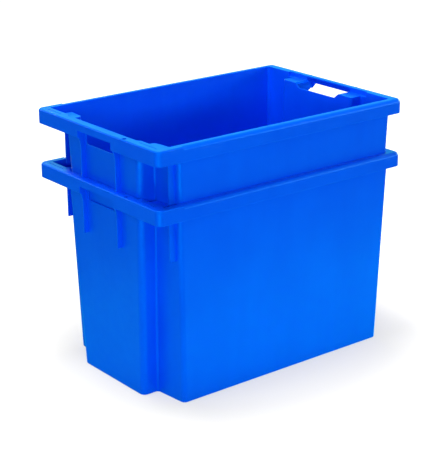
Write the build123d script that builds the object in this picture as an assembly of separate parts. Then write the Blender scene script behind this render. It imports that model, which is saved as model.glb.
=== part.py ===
from build123d import *
import os

# Two stack-and-nest harvest crates, the upper one nested in the lower one, millimetres.
# X runs along the crate, Y across it, Z up. The origin is the middle of the lower crate's underside.

# Overall size
crate_length = 600.0
crate_width = 400.0
crate_height = 403.0
nest_step = 109.5
stack_depth = 9.5

# Moulding
wall = 2.5
floor = 3.2
nest_gap = 0.5
foot_round = 3.0
floor_round = 3.0
edge_round = 0.8

# Rim: a band with a skirt that hangs from its outer edge, flat at the panel end and rounded along the rest
rim_plate = 3.0
rim_corner = 13.0
end_round = 3.0
side_round = 8.5
skirt_depth = 29.0
skirt_round = 0.8
side_overhang = 13.0

# Panel end, at -X: the centre panel stands out and both corners are set back
panel_overhang = 15.0
panel_half = 122.0
panel_extra_taper = 0.023
panel_edge = 12.0
panel_recess = 35.0
corner_slant = 6.7
corner_radius = 10.0
root_radius = 5.0

# Column end, at +X: both corners are columns and the centre panel is set back
column_overhang = 20.5
column_corner = 8.0
column_edge = 6.0
end_recess = 27.5
end_recess_half = 102.0

# Seats at the panel end: a shelf and a deeper pocket in each corner of the rim
shelf_plate = 3.0
shelf_band = 22.7
pocket_width = 24.5
pocket_depth = 25.0

# Seats at the column end: a pad on each side of the grip
pad_back_inset = 17.5
pad_back_half = 118.0

# Ribs: two on the panel and one on each set-back corner stand over the crate below, as do the gussets
rib_thickness = 4.0
rib_proud = 8.0
rib_flare = 22.0
rib_gap = 4.5
corner_rib_proud = 12.4
corner_rib_gap = 15.6
corner_rib_lift = 5.0
gusset_thickness = 4.0
gusset_reach = 16.0
gusset_web = 26.0
gusset_slope = 18.0

# Grips
hand_half = 50.0
hand_top = 14.0
hand_bottom = 43.0
hand_corner = 4.0
panel_relief = 15.0
grip_half = 66.0
grip_drop = 19.5
grip_slope = 12.0
column_relief = 17.0
column_relief_half = 56.0
column_relief_flare = 12.0

# Small features of the rim
tag_hole = 9.0
tag_hole_along = 91.0
tag_hole_inset = 6.5
groove_width = 1.5
groove_depth = 0.8
groove_inset = 12.0
groove_end_gap = 6.0

# Worked out from the sizes above
cut = 1.0
near = 0.1
draft = (wall + nest_gap) / nest_step
panel_taper = draft + panel_extra_taper
half_length = crate_length / 2
half_width = crate_width / 2
seat_z = crate_height - stack_depth
rib_foot = crate_height - nest_step
seat_foot = seat_z - nest_step
skirt_z = crate_height - skirt_depth
plate_z = crate_height - rim_plate
panel_x = half_length - panel_overhang
root_x = panel_x - panel_recess
corner_x = root_x - corner_slant
column_x = half_length - column_overhang
end_x = column_x - end_recess
side_y = half_width - side_overhang
skirt_inner_x = half_length - wall
band_x = half_length - shelf_band
pad_back = half_length - pad_back_inset
rib_inner = hand_half + rib_gap
pocket_start = side_y - wall - pocket_width
corner_rib_inner = side_y - corner_rib_gap - rib_thickness


def slab(low, high):
    """Solid box between two opposite corners."""
    size = [b - a for a, b in zip(low, high)]
    return Pos(*low) * Box(*size, align=(Align.MIN, Align.MIN, Align.MIN))


def mirrored(solid):
    """A solid together with its mirror image across the crate's long middle plane."""
    return solid + mirror(solid, Plane.XZ)


def rounded_outline(corners, z):
    """Face at height z inside (x, y, radius) corners."""
    points = [(x, y, z) for x, y, radius in corners]
    return make_face(FilletPolyline(*points, radius=[radius for x, y, radius in corners], close=True))


def section(z, inset):
    """Outline of the body at height z, moved inwards by inset."""
    lean = draft * (crate_height - z) + inset
    side = side_y - lean
    panel_side = panel_half - panel_taper * (crate_height - z) - inset
    end_side = end_recess_half + lean
    back = [
        (end_x - lean, end_side, root_radius + inset),
        (column_x - lean, end_side, column_edge - inset),
        (column_x - lean, side, column_corner - inset),
        (-(corner_x - lean), side, corner_radius - inset),
        (-(root_x - lean), panel_side, root_radius + inset),
        (-(panel_x - lean), panel_side, panel_edge - inset),
    ]
    front = [(x, -y, radius) for x, y, radius in reversed(back)]
    return rounded_outline(back + front, z)


def body(inset, base, base_round):
    """Ruled solid inside the body's outer (inset 0) or inner surface, with its base edges rounded."""
    solid = loft([section(base, inset), section(crate_height, inset)], ruled=True)
    return fillet(solid.faces().sort_by(Axis.Z)[0].edges(), base_round)


def rim_block(end, inset, top, top_round):
    """Half of the rim, from the split at the set-back corners to one end, moved inwards by inset."""
    split = -corner_x
    corners = [
        (split, -(half_width - inset), 0),
        (end, -(half_width - inset), rim_corner - inset),
        (end, half_width - inset, rim_corner - inset),
        (split, half_width - inset, 0),
    ]
    solid = extrude(rounded_outline(corners, skirt_z), top - skirt_z, dir=(0, 0, 1))
    edges = solid.faces().sort_by(Axis.Z)[-1].edges()
    return fillet([edge for edge in edges if abs(edge.center().X - split) > cut], top_round)


def rim():
    """Rim band with its hanging skirt, still closed over the crate's mouth."""
    flat_end = rim_block(-half_length, 0, crate_height, end_round)
    flat_end = flat_end - rim_block(-skirt_inner_x, wall, plate_z, edge_round)
    rounded = rim_block(half_length, 0, crate_height, side_round)
    rounded = rounded - rim_block(skirt_inner_x, wall, plate_z, side_round - wall)
    whole = flat_end + rounded
    return fillet(whole.faces().sort_by(Axis.Z)[0].outer_wire().edges(), skirt_round)


def leaning_bar(x_range, start, side, z_range):
    """Bar along X whose far side leans with the crate's long wall, and its mirror image."""
    low, high = z_range
    points = [
        (0, start, low),
        (0, side - draft * (crate_height - low), low),
        (0, side - draft * (crate_height - high), high),
        (0, start, high),
    ]
    face = make_face(Polyline(*points, close=True))
    length = x_range[1] - x_range[0]
    return mirrored(Pos(x_range[0], 0, 0) * extrude(face, length, dir=(1, 0, 0)))


def corner_seats():
    """Shelf plate and pocket walls in both corners of the panel end."""
    top = crate_height - cut
    shelf = leaning_bar((-band_x - wall, -corner_x + wall), 0, side_y, (seat_z - shelf_plate, top))
    pocket_x = (-band_x - wall, -corner_x + corner_radius)
    pocket_z = (crate_height - pocket_depth - wall, top)
    return shelf + leaning_bar(pocket_x, pocket_start - wall, side_y, pocket_z)


def corner_hollows():
    """Open space above the corner shelves and in the pockets."""
    x_range = (-band_x, -corner_x + corner_radius)
    inner = side_y - wall
    shelf = leaning_bar(x_range, 0, inner, (seat_z, crate_height + cut))
    pocket_z = (crate_height - pocket_depth, crate_height + cut)
    return shelf + leaning_bar(x_range, pocket_start, inner, pocket_z)


def end_pads():
    """Plate and back wall of the seats at the column end."""
    low = (end_x - wall, -pad_back_half - wall, seat_z - shelf_plate)
    return slab(low, (pad_back + wall, pad_back_half + wall, crate_height - cut))


def end_hollow():
    """Open space above the seats at the column end."""
    return slab((0, -pad_back_half, seat_z), (pad_back, pad_back_half, crate_height + cut))


def rounded_front(solid, front):
    """Round the upright edges of a solid that stand at X = front."""
    upright = solid.edges().filter_by(Axis.Z)
    return fillet([edge for edge in upright if abs(edge.center().X - front) < cut / 2], edge_round)


def plate(lines, thickness, inner_side, front):
    """Upright plate inside lines of the XZ plane, from inner_side outwards, rounded at X = front, twice."""
    face = Pos(0, inner_side, 0) * make_face(lines)
    return mirrored(rounded_front(extrude(face, thickness, dir=(0, 1, 0)), front))


def corner_ribs():
    """Ribs on the set-back corners, from the rim down to just above the seats of the crate below."""
    reach = -(corner_x + corner_rib_proud)
    root = -corner_x + corner_radius
    foot = seat_foot + corner_rib_lift
    top = crate_height - cut
    points = [(root, 0, top), (reach, 0, top), (reach, 0, foot), (root, 0, foot)]
    return plate(Polyline(*points, close=True), rib_thickness, corner_rib_inner, reach)


def panel_ribs():
    """Ribs at the panel end, flared out to the skirt, down to the rim of the crate below."""
    reach = -(panel_x + rib_proud)
    root = -(panel_x - panel_edge)
    top = crate_height - cut
    foot = (reach, 0, rib_foot)
    skirt_foot = (-skirt_inner_x, 0, skirt_z)
    flare_foot = (reach, 0, skirt_z - rib_flare)
    back = Polyline(foot, (root, 0, rib_foot), (root, 0, top), (-skirt_inner_x, 0, top), skirt_foot)
    front = TangentArc(flare_foot, skirt_foot, tangent=(0, 0, 1)) + Line(flare_foot, foot)
    return plate(back + front, rib_thickness, rib_inner, reach)


def end_gussets():
    """Gussets at the column end, from the skirt down to the seats of the crate below."""
    reach = end_x + gusset_reach
    root = end_x - end_recess
    top = crate_height - cut
    web = crate_height - gusset_web
    points = [
        (root, 0, top),
        (skirt_inner_x, 0, top),
        (skirt_inner_x, 0, web),
        (reach, 0, web - gusset_slope),
        (reach, 0, seat_foot),
        (root, 0, seat_foot),
    ]
    return plate(Polyline(*points, close=True), gusset_thickness, grip_half, reach)


def hand_hole():
    """Hand hole through the panel."""
    middle = crate_height - (hand_top + hand_bottom) / 2
    outline = Pos(0, middle) * RectangleRounded(2 * hand_half, hand_bottom - hand_top, hand_corner)
    return extrude(Plane.YZ.offset(-panel_x) * outline, panel_edge, both=True)


def across_cut(outline, x_range):
    """Cut along X between two places, with the same outline of (y, z) points all the way."""
    face = make_face(Polyline(*[(0, y, z) for y, z in outline], close=True))
    return Pos(x_range[0], 0, 0) * extrude(face, x_range[1] - x_range[0], dir=(1, 0, 0))


def finger_gap():
    """Gap between the rim and the column end's panel, whose top edge dips below the seats."""
    low = crate_height - grip_drop
    flat = grip_half - grip_slope
    right = [(flat, low), (grip_half, seat_z), (grip_half, plate_z)]
    left = [(-y, z) for y, z in reversed(right)]
    return across_cut(right + left, (end_x - end_recess, skirt_inner_x))


def relief(half, flare, height, x_range):
    """Lifted stretch of the skirt's lower edge, wider by flare at the foot of the skirt."""
    low = skirt_z - cut
    top = crate_height - height
    return across_cut([(-half - flare, low), (half + flare, low), (half, top), (-half, top)], x_range)


def skirt_reliefs():
    """Lifted lower edge of the skirt in front of both grips."""
    panel = relief(rib_inner, 0, panel_relief, (-half_length - cut, -skirt_inner_x))
    column_x_range = (skirt_inner_x, half_length + cut)
    return panel + relief(column_relief_half, column_relief_flare, column_relief, column_x_range)


def rim_details():
    """Hole for a tag in the rim, and a shallow groove beside each corner shelf."""
    hole_at = Pos(-half_length + tag_hole_inset, -tag_hole_along, crate_height)
    hole = hole_at * Cylinder(tag_hole / 2, 2 * (rim_plate + cut))
    low = (-half_length + groove_inset, panel_half + groove_end_gap, crate_height - groove_depth)
    high = (low[0] + groove_width, side_y - groove_end_gap, crate_height + cut)
    return hole + mirrored(slab(low, high))


def level_edges(solid, z):
    """Inner edges of the seats or the grip: level at height z, across the crate, at its inside."""
    mostly = 0.9
    last = end_x - wall + cut
    return [
        edge
        for edge in solid.edges()
        if abs(edge.center().Z - z) < near
        and -root_x < edge.center().X < last
        and abs((edge % 0.5).Y) > mostly
    ]


def crate():
    """One whole crate, standing on the origin."""
    solid = body(0.0, 0.0, foot_round) + rim() + corner_seats() + end_pads()
    solid = solid + corner_ribs() + panel_ribs() + end_gussets()
    solid = solid - body(wall, floor, floor_round) - corner_hollows() - end_hollow()
    mouth = solid.faces().sort_by(Axis.Z)[-1].inner_wires()
    solid = fillet([edge for wire in mouth for edge in wire.edges()], edge_round)
    hole = hand_hole()
    holed = solid - hole
    solid = fillet(new_edges(solid, hole, combined=holed), edge_round)
    solid = solid - finger_gap() - skirt_reliefs()
    inner_edges = level_edges(solid, seat_z) + level_edges(solid, crate_height - grip_drop)
    solid = fillet(inner_edges, edge_round)
    return solid - rim_details()


lower_crate = crate()
upper_crate = Pos(0, 0, nest_step) * lower_crate

os.makedirs("parts", exist_ok=True)
export_step(lower_crate, "parts/lower_crate.step")
export_step(upper_crate, "parts/upper_crate.step")
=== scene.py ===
"""Two nested harvest crates of blue moulded plastic, dressed on their CAD solids in a studio."""

from __future__ import annotations

import logging
import math
from dataclasses import dataclass
from enum import Enum
from typing import Union

import bpy
from mathutils import Matrix, Vector

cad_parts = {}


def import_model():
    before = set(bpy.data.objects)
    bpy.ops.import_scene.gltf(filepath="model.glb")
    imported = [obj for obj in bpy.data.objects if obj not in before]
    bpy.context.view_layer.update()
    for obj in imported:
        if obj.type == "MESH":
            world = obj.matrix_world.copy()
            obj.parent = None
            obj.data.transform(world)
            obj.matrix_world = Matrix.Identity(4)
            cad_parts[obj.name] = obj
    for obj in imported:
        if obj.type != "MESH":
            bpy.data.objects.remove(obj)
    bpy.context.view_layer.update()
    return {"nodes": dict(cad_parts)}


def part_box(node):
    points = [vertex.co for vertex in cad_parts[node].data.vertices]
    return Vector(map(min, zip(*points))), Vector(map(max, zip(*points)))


LOG = logging.getLogger("nested_crates")
IMAGE_SIZE = (440, 460)

Colour = tuple[float, float, float]
Point = tuple[float, float, float]
Span = tuple[float, float]
Socket = bpy.types.NodeSocket
Sockets = dict[str, Socket]
Value = Union[float, Socket]
Paint = Union[Colour, Socket]

WHITE: Colour = (1.0, 1.0, 1.0)
OPAQUE = 1.0


class Place(Enum):
    """Where a crate stands in the nest: the value is the CAD body that it rides on."""

    LOWER = "lower"
    UPPER = "upper"


class Kind(Enum):
    """What a socket of a surface effect carries: the value is the socket's type name."""

    NUMBER = "NodeSocketFloat"
    PLACE = "NodeSocketVector"


class NodeSheet:
    """Small helper that adds shader nodes to one tree and wires them up."""

    def __init__(self, tree: bpy.types.NodeTree) -> None:
        """Start with an empty tree.

        Args:
            tree: The node tree to fill.
        """
        self.tree = tree
        self.tree.nodes.clear()

    def add(
        self, kind: str, settings: dict | None = None, inputs: dict | None = None
    ) -> bpy.types.Node:
        """Add one node, set its properties and fill or link its inputs.

        Args:
            kind: The node's type name.
            settings: Properties of the node, by name.
            inputs: Values or output sockets for the node's inputs, by name or number.

        Returns:
            The new node.
        """
        node = self.tree.nodes.new(kind)
        for name, value in (settings or {}).items():
            setattr(node, name, value)
        for key, value in (inputs or {}).items():
            if isinstance(value, Socket):
                self.tree.links.new(value, node.inputs[key])
            else:
                node.inputs[key].default_value = value
        return node

    def math(self, operation: str, *values: Value) -> Socket:
        """Add one step of arithmetic.

        Args:
            operation: Name of the operation.
            values: Numbers or sockets to work on.

        Returns:
            The result's socket.
        """
        inputs = dict(enumerate(values))
        return self.add("ShaderNodeMath", {"operation": operation}, inputs).outputs[0]

    def noise(self, place: Socket, scale: Value, detail: float) -> Socket:
        """Add one soft noise pattern.

        Args:
            place: Coordinates that the pattern follows.
            scale: Its scale, a number or a socket.
            detail: How many finer layers it has.

        Returns:
            The pattern's socket, from 0 to 1.
        """
        inputs = {"Vector": place, "Scale": scale, "Detail": detail}
        return self.add("ShaderNodeTexNoise", inputs=inputs).outputs["Fac"]

    def stretched(self, place: Socket, scale: Point) -> Socket:
        """Scale coordinates by a different amount along each axis.

        Args:
            place: The coordinates.
            scale: The three amounts.

        Returns:
            The scaled coordinates.
        """
        inputs = {"Vector": place, "Scale": scale}
        return self.add("ShaderNodeMapping", inputs=inputs).outputs["Vector"]

    def ramp(
        self, value: Socket, start: Value, end: Value, low: float = 0.0, high: float = 1.0
    ) -> Socket:
        """Map a range of values smoothly onto another one.

        Args:
            value: The value to map.
            start: Where the range begins.
            end: Where it ends.
            low: Result at the start.
            high: Result at the end.

        Returns:
            The mapped value's socket.
        """
        inputs = {"Value": value, "From Min": start, "From Max": end, "To Min": low, "To Max": high}
        settings = {"interpolation_type": "SMOOTHSTEP"}
        return self.add("ShaderNodeMapRange", settings, inputs).outputs["Result"]

    def blend(self, mask: Socket, first: Paint, second: Paint) -> Socket:
        """Mix two colours by a mask.

        Args:
            mask: The mask's socket.
            first: Colour or socket where the mask is 0.
            second: Colour or socket where the mask is 1.

        Returns:
            The mixed colour's socket.
        """
        node = self.add("ShaderNodeMix", {"data_type": "RGBA"}, {"Factor": mask})
        colours = {entry.name: entry for entry in node.inputs if entry.type == "RGBA"}
        for name, paint in (("A", first), ("B", second)):
            if isinstance(paint, Socket):
                self.tree.links.new(paint, colours[name])
            else:
                colours[name].default_value = (*paint, OPAQUE)
        return next(entry for entry in node.outputs if entry.type == "RGBA")


class SurfaceEffect:
    """A surface effect that the crates' materials share, kept as one shader node group."""

    name = "surface_effect"
    takes: dict[str, Kind] = {}
    gives: tuple[str, ...] = ()

    def wire(self, sheet: NodeSheet, entry: Sockets) -> Sockets:
        """Wire up the inside of the group.

        Args:
            sheet: The group's node sheet.
            entry: The group's inputs, by name.

        Returns:
            The sockets that leave the group, by name.
        """
        raise NotImplementedError

    def group(self) -> bpy.types.NodeTree:
        """Find the effect's node group, which is built at its first use.

        Returns:
            The node group.
        """
        known = bpy.data.node_groups.get(self.name)
        if known:
            return known
        tree = bpy.data.node_groups.new(self.name, "ShaderNodeTree")
        for name, kind in self.takes.items():
            tree.interface.new_socket(name, in_out="INPUT", socket_type=kind.value)
        for name in self.gives:
            tree.interface.new_socket(name, in_out="OUTPUT", socket_type=Kind.NUMBER.value)
        sheet = NodeSheet(tree)
        start = sheet.add("NodeGroupInput").outputs
        ends = self.wire(sheet, {name: start[name] for name in self.takes})
        sheet.add("NodeGroupOutput", inputs=ends)
        return tree

    def put(self, sheet: NodeSheet, inputs: dict) -> Sockets:
        """Place the effect in a material.

        Args:
            sheet: The material's node sheet.
            inputs: Values or sockets for the group's inputs.

        Returns:
            The group's outputs, by name.
        """
        node = sheet.add("ShaderNodeGroup", {"node_tree": self.group()}, inputs)
        return {name: node.outputs[name] for name in self.gives}


class MouldedSkin(SurfaceEffect):
    """Relief that the mould leaves: fine grain, soft peel and slow waves on large cooled walls."""

    name = "moulded_skin"
    takes = {
        "Place": Kind.PLACE,
        "Grain": Kind.NUMBER,
        "Peel": Kind.NUMBER,
        "Wave": Kind.NUMBER,
    }
    gives = ("Height", "Gloss")
    grain_scale = 850.0
    grain_detail = 2.0
    peel_scale = 60.0
    peel_detail = 3.0
    wave_scale = 4.5
    wave_detail = 1.0

    def wire(self, sheet: NodeSheet, entry: Sockets) -> Sockets:
        """Wire up the relief: its height in millimetres, and a mask of the duller spots.

        Args:
            sheet: The group's node sheet.
            entry: Coordinates and the depth of each layer in millimetres.

        Returns:
            The height and the gloss mask.
        """
        peel = sheet.noise(entry["Place"], self.peel_scale, self.peel_detail)
        height = sheet.math("MULTIPLY", peel, entry["Peel"])
        grain = sheet.noise(entry["Place"], self.grain_scale, self.grain_detail)
        height = sheet.math("MULTIPLY_ADD", grain, entry["Grain"], height)
        wave = sheet.noise(entry["Place"], self.wave_scale, self.wave_detail)
        height = sheet.math("MULTIPLY_ADD", wave, entry["Wave"], height)
        return {"Height": height, "Gloss": peel}


class FlowClouds(SurfaceEffect):
    """Faint clouds and upright streaks that the pigment leaves as the plastic fills the mould."""

    name = "flow_clouds"
    takes = {"Place": Kind.PLACE, "Cloud Scale": Kind.NUMBER, "Streak Scale": Kind.NUMBER}
    gives = ("Shade",)
    cloud_detail = 4.0
    streak_stretch: Point = (1.0, 1.0, 0.12)
    streak_detail = 3.0
    streak_share = 0.4
    shade_range: Span = (0.36, 0.64)

    def wire(self, sheet: NodeSheet, entry: Sockets) -> Sockets:
        """Wire up the clouds and streaks.

        Args:
            sheet: The group's node sheet.
            entry: Coordinates and the scale of both patterns.

        Returns:
            The shade, from 0 to 1.
        """
        clouds = sheet.noise(entry["Place"], entry["Cloud Scale"], self.cloud_detail)
        upright = sheet.stretched(entry["Place"], self.streak_stretch)
        streaks = sheet.noise(upright, entry["Streak Scale"], self.streak_detail)
        shade = sheet.math("MULTIPLY", clouds, 1.0 - self.streak_share)
        shade = sheet.math("MULTIPLY_ADD", streaks, self.streak_share, shade)
        return {"Shade": sheet.ramp(shade, *self.shade_range)}


class HandlingScuffs(SurfaceEffect):
    """Light rubbing where crates touch one another and the ground: at the rim and the foot."""

    name = "handling_scuffs"
    takes = {
        "Place": Kind.PLACE,
        "Foot": Kind.NUMBER,
        "Top": Kind.NUMBER,
        "Band": Kind.NUMBER,
    }
    gives = ("Scuffs",)
    scratch_stretch: Point = (1.0, 1.0, 9.0)
    scratch_scale = 38.0
    scratch_detail = 6.0
    scratch_range: Span = (0.56, 0.7)
    patch_scale = 14.0
    patch_detail = 3.0
    patch_range: Span = (0.42, 0.68)

    def wire(self, sheet: NodeSheet, entry: Sockets) -> Sockets:
        """Wire up broken scratches inside the two rubbed bands.

        Args:
            sheet: The group's node sheet.
            entry: Coordinates, the heights of the foot and the top, and the bands' width.

        Returns:
            The mask of the scuffs, from 0 to 1.
        """
        height = sheet.add("ShaderNodeSeparateXYZ", inputs={0: entry["Place"]}).outputs["Z"]
        above_foot = sheet.math("SUBTRACT", height, entry["Foot"])
        below_top = sheet.math("SUBTRACT", entry["Top"], height)
        nearest = sheet.math("MINIMUM", above_foot, below_top)
        band = sheet.ramp(nearest, 0.0, entry["Band"], 1.0, 0.0)
        along = sheet.stretched(entry["Place"], self.scratch_stretch)
        lines = sheet.noise(along, self.scratch_scale, self.scratch_detail)
        lines = sheet.ramp(lines, *self.scratch_range)
        patches = sheet.noise(entry["Place"], self.patch_scale, self.patch_detail)
        patches = sheet.ramp(patches, *self.patch_range)
        return {"Scuffs": sheet.math("MULTIPLY", sheet.math("MULTIPLY", lines, patches), band)}


@dataclass(frozen=True)
class MouldedPlastic:
    """Satin blue polyethylene as it comes from the mould, hardly used.

    Its blue lies at the edge of what a display shows, so the tint of its sheen has no red.
    """

    colour: Colour = (0.0, 0.084, 0.875)
    deep_colour: Colour = (0.0, 0.072, 0.84)
    scuff_colour: Colour = (0.012, 0.110, 0.88)
    roughness: float = 0.34
    rough_spread: float = 0.08
    peel_range: Span = (0.3, 0.7)
    scuff_dulling: float = 0.18
    specular: float = 0.5
    sheen_tint: Colour = (0.0, 0.95, 1.0)
    grain_depth: float = 0.02
    peel_depth: float = 0.05
    wave_depth: float = 1.2
    millimetre: float = 0.001
    cloud_scale: float = 9.0
    streak_scale: float = 26.0
    rubbed_band: float = 0.03

    def material(self, name: str, foot: float, top: float) -> bpy.types.Material:
        """Build the plastic of one crate.

        Args:
            name: The material's name.
            foot: Height of the crate's underside.
            top: Height of its rim.

        Returns:
            The finished material.
        """
        material = bpy.data.materials.new(name)
        material.use_nodes = True
        sheet = NodeSheet(material.node_tree)
        place = sheet.add("ShaderNodeTexCoord").outputs["Object"]
        skin = MouldedSkin().put(
            sheet,
            {
                "Place": place,
                "Grain": self.grain_depth,
                "Peel": self.peel_depth,
                "Wave": self.wave_depth,
            },
        )
        shade = FlowClouds().put(
            sheet,
            {"Place": place, "Cloud Scale": self.cloud_scale, "Streak Scale": self.streak_scale},
        )["Shade"]
        scuffs = HandlingScuffs().put(
            sheet, {"Place": place, "Foot": foot, "Top": top, "Band": self.rubbed_band}
        )["Scuffs"]
        tint = sheet.blend(shade, self.colour, self.deep_colour)
        tint = sheet.blend(scuffs, tint, self.scuff_colour)
        spread = self.rough_spread / 2
        smooth, dull = self.roughness - spread, self.roughness + spread
        gloss = sheet.ramp(skin["Gloss"], *self.peel_range, smooth, dull)
        gloss = sheet.math("MULTIPLY_ADD", scuffs, self.scuff_dulling, gloss)
        relief = sheet.add(
            "ShaderNodeBump", inputs={"Height": skin["Height"], "Distance": self.millimetre}
        )
        shader = sheet.add(
            "ShaderNodeBsdfPrincipled",
            inputs={
                "Base Color": tint,
                "Roughness": gloss,
                "Normal": relief.outputs["Normal"],
                "Specular IOR Level": self.specular,
                "Specular Tint": (*self.sheen_tint, OPAQUE),
            },
        )
        sheet.add("ShaderNodeOutputMaterial", inputs={"Surface": shader.outputs["BSDF"]})
        return material


@dataclass
class Crate:
    """One moulded crate, shown as its CAD solid with smoothed rounds."""

    place: Place
    weld: float = 0.00001
    crease: float = math.radians(35.0)
    flat_weight: int = 50

    @property
    def node(self) -> str:
        """Name of the crate's CAD node."""
        return f"{self.place.value}_crate"

    def dress(self, piece: bpy.types.Object, plastic: MouldedPlastic) -> None:
        """Give the CAD solid smooth rounds and its plastic.

        Args:
            piece: The crate's CAD object.
            plastic: The finish.
        """
        join = piece.modifiers.new("join_faces", "WELD")
        join.merge_threshold = self.weld
        split = piece.modifiers.new("keep_creases", "EDGE_SPLIT")
        split.split_angle = self.crease
        split.use_edge_sharp = False
        even = piece.modifiers.new("even_rounds", "WEIGHTED_NORMAL")
        even.weight = self.flat_weight
        foot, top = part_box(self.node)
        finish = plastic.material(f"{self.place.value}_blue_plastic", foot.z, top.z)
        piece.data.materials.clear()
        piece.data.materials.append(finish)
        LOG.info("%s dressed in blue plastic", self.node)


@dataclass(frozen=True)
class SoftBox:
    """One studio lamp with a soft front: a long low strip unless its size is given."""

    name: str
    place: Point
    power: float
    width: float = 2.2
    height: float = 0.35
    aim: Point = (0.0, 0.0, 0.28)

    def hang(self) -> None:
        """Hang the lamp at its place, facing its aim."""
        data = bpy.data.lights.new(self.name, "AREA")
        data.shape = "RECTANGLE"
        data.size = self.width
        data.size_y = self.height
        data.energy = self.power
        box = bpy.data.objects.new(self.name, data)
        box.location = self.place
        facing = Vector(self.aim) - Vector(self.place)
        box.rotation_euler = facing.to_track_quat("-Z", "Y").to_euler()
        bpy.context.scene.collection.objects.link(box)
        LOG.info("%s hung", self.name)


@dataclass(frozen=True)
class Glow:
    """How bright one kind of ray finds the floor: a level in the middle and one further out."""

    near: float
    far: float
    start: float
    end: float
    middle: Point = (0.0, 0.0, 0.0)
    stretch: Point = (1.0, 1.0, 1.0)

    def level(self, sheet: NodeSheet, place: Socket) -> Socket:
        """Work out the glow's strength at a place.

        Args:
            sheet: The floor's node sheet.
            place: Coordinates on the floor.

        Returns:
            The strength's socket.
        """
        spot = sheet.stretched(place, self.stretch)
        reach = sheet.add(
            "ShaderNodeVectorMath", {"operation": "DISTANCE"}, {0: spot, 1: self.middle}
        )
        return sheet.ramp(reach.outputs["Value"], self.start, self.end, self.near, self.far)


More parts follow.
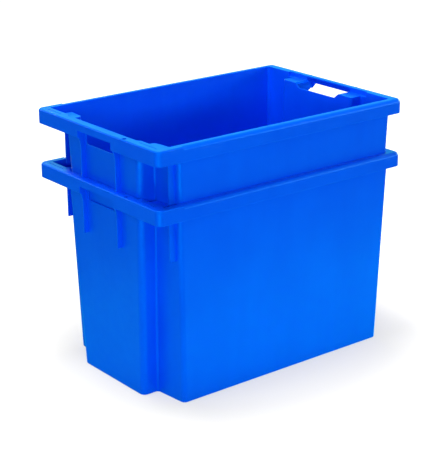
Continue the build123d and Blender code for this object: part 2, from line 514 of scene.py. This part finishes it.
@dataclass
class Studio:
    """White floor, soft lamps and the camera of the photograph.

    The camera finds the floor white. Gloss finds floor and surroundings cool, so that it adds no
    red to the blue, and finds the surroundings brighter than the camera does: a painted sheen on the
    rim tops. Spots of the floor glow for gloss alone, though they are no lamps: a painted sheen on
    the walls beside them, which grows brighter down to the foot there, and a painted highlight on
    the near corners.
    """

    floor_reach: float = 40.0
    lit_floor: Colour = (0.2, 0.8, 0.82)
    seen_floor: Colour = (0.42, 0.41, 0.35)
    mirrored_floor: Colour = (0.0, 0.37, 0.4)
    seen_glow: Glow = Glow(0.57, 1.05, 0.28, 0.62)
    # Floor spots that glow for gloss alone, no lamps: painted sheen on the front wall, brighter down
    # to the foot, painted sheen on the left end, and a painted highlight on the near corners.
    painted_sheen_glows: tuple[Glow, ...] = (
        Glow(2.1, 0.0, 0.15, 0.42, (0.13, -0.38, 0.0), (0.4, 1.0, 1.0)),
        Glow(0.55, 0.0, 0.15, 0.45, (-0.45, 0.15, 0.0)),
        Glow(6.0, 0.0, 0.2, 1.0, (-1.35, -1.05, 0.0)),
    )
    # Colour of the painted sheen glows as gloss sees them.
    painted_sheen_colour: Colour = (0.0, 0.92, 1.0)
    cool_backdrop: Colour = (0.08, 0.92, 1.0)
    # Gloss sees the surroundings this much brighter than the camera does: a painted sheen on the rim
    # tops.
    backdrop_painted_sheen: float = 1.4
    lamps: tuple[SoftBox, ...] = (
        SoftBox("overhead_softbox", (-0.4, 0.12, 2.8), 54.0, 0.9, 0.9),
        SoftBox("high_front_softbox", (-0.8, -2.0, 2.4), 11.0, 1.2, 1.2),
        SoftBox("high_left_softbox", (-2.2, 0.1, 2.2), 14.5, 1.0, 1.0),
        SoftBox("left_front_strip", (-2.1, -2.1, 0.95), 27.5),
        SoftBox("front_strip", (0.0, -3.0, 0.95), 12.0),
        SoftBox("right_front_strip", (2.1, -2.1, 0.95), 16.0),
        SoftBox("right_strip", (3.0, 0.0, 0.95), 36.0),
        SoftBox("back_strip", (0.0, 3.0, 0.95), 36.0),
    )
    camera_place: Point = (-1.703505, -2.158469, 1.218219)
    yaw: float = math.radians(38.1987)
    pitch: float = math.radians(19.4187)
    roll: float = math.radians(-0.345)
    focal_pixels: float = 1444.327
    sensor: float = 36.0

    def floor(self) -> None:
        """Lay a pale floor that shows white, keeps the crates' shadow and mirrors in their gloss,
        with spots that glow for gloss alone as painted sheen and painted highlights.
        """
        bpy.ops.object.select_all(action="DESELECT")
        bpy.ops.mesh.primitive_plane_add(size=self.floor_reach)
        ground = bpy.context.object
        ground.name = "studio_floor"
        material = bpy.data.materials.new("studio_floor")
        material.use_nodes = True
        sheet = NodeSheet(material.node_tree)
        seen, mirrored = self.rays(sheet)
        place = sheet.add("ShaderNodeTexCoord").outputs["Object"]
        paint = sheet.blend(seen, self.lit_floor, self.seen_floor)
        paint = sheet.blend(mirrored, paint, self.mirrored_floor)
        matt = sheet.add("ShaderNodeBsdfDiffuse", inputs={"Color": paint})
        strength = sheet.math("MULTIPLY", seen, self.seen_glow.level(sheet, place))
        # Painted sheen: floor spots that glow for glossy rays only.
        for sheen_spot in self.painted_sheen_glows:
            strength = sheet.math("MULTIPLY_ADD", mirrored, sheen_spot.level(sheet, place), strength)
        white_and_sheen_colour = sheet.blend(mirrored, WHITE, self.painted_sheen_colour)
        glow = sheet.add("ShaderNodeEmission", inputs={"Color": white_and_sheen_colour, "Strength": strength})
        both = sheet.add("ShaderNodeAddShader", inputs={0: matt.outputs[0], 1: glow.outputs[0]})
        sheet.add("ShaderNodeOutputMaterial", inputs={"Surface": both.outputs[0]})
        ground.data.materials.append(material)
        LOG.info("floor laid")

    def rays(self, sheet: NodeSheet) -> tuple[Socket, Socket]:
        """Make masks of the rays that show the background.

        Args:
            sheet: The tree to add the masks to.

        Returns:
            The rays that see it straight or through glass, and those that see it by way of gloss.
        """
        path = sheet.add("ShaderNodeLightPath").outputs
        seen = sheet.math("MAXIMUM", path["Is Camera Ray"], path["Is Transmission Ray"])
        return seen, path["Is Glossy Ray"]

    def sky(self) -> None:
        """Put up white surroundings, which are cool in the crates' gloss and brighter there than to
        the camera, a painted sheen, and light nothing else.
        """
        world = bpy.data.worlds.new("white_studio")
        bpy.context.scene.world = world
        world.use_nodes = True
        sheet = NodeSheet(world.node_tree)
        seen, mirrored = self.rays(sheet)
        # Painted sheen: glossy rays find the surroundings brighter than camera rays do.
        level = sheet.math("MULTIPLY_ADD", mirrored, self.backdrop_painted_sheen, seen)
        colour = sheet.blend(mirrored, WHITE, self.cool_backdrop)
        white = sheet.add("ShaderNodeBackground", inputs={"Color": colour, "Strength": level})
        sheet.add("ShaderNodeOutputWorld", inputs={"Surface": white.outputs[0]})
        LOG.info("surroundings put up")

    def camera(self) -> None:
        """Set up the camera at the photograph's viewpoint."""
        data = bpy.data.cameras.new("photo_view")
        data.sensor_width = self.sensor
        data.lens = self.focal_pixels * self.sensor / max(IMAGE_SIZE)
        view = bpy.data.objects.new("photo_view", data)
        turn = Matrix.Rotation(-self.yaw, 4, "Z")
        tilt = Matrix.Rotation(math.pi / 2 - self.pitch, 4, "X")
        lean = Matrix.Rotation(self.roll, 4, "Z")
        view.matrix_world = Matrix.Translation(self.camera_place) @ turn @ tilt @ lean
        bpy.context.scene.collection.objects.link(view)
        bpy.context.scene.camera = view
        LOG.info("camera set")

    def build(self) -> None:
        """Set up the whole studio."""
        self.floor()
        self.sky()
        for lamp in self.lamps:
            lamp.hang()
        self.camera()


def main() -> None:
    """Build the crates and their studio in order."""
    logging.basicConfig(level=logging.INFO, format="%(name)s: %(message)s")
    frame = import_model()
    plastic = MouldedPlastic()
    for place in Place:
        crate = Crate(place)
        crate.dress(frame["nodes"][crate.node], plastic)
    Studio().build()
    bpy.context.scene.view_settings.view_transform = "Standard"


if __name__ == "__main__":
    main()
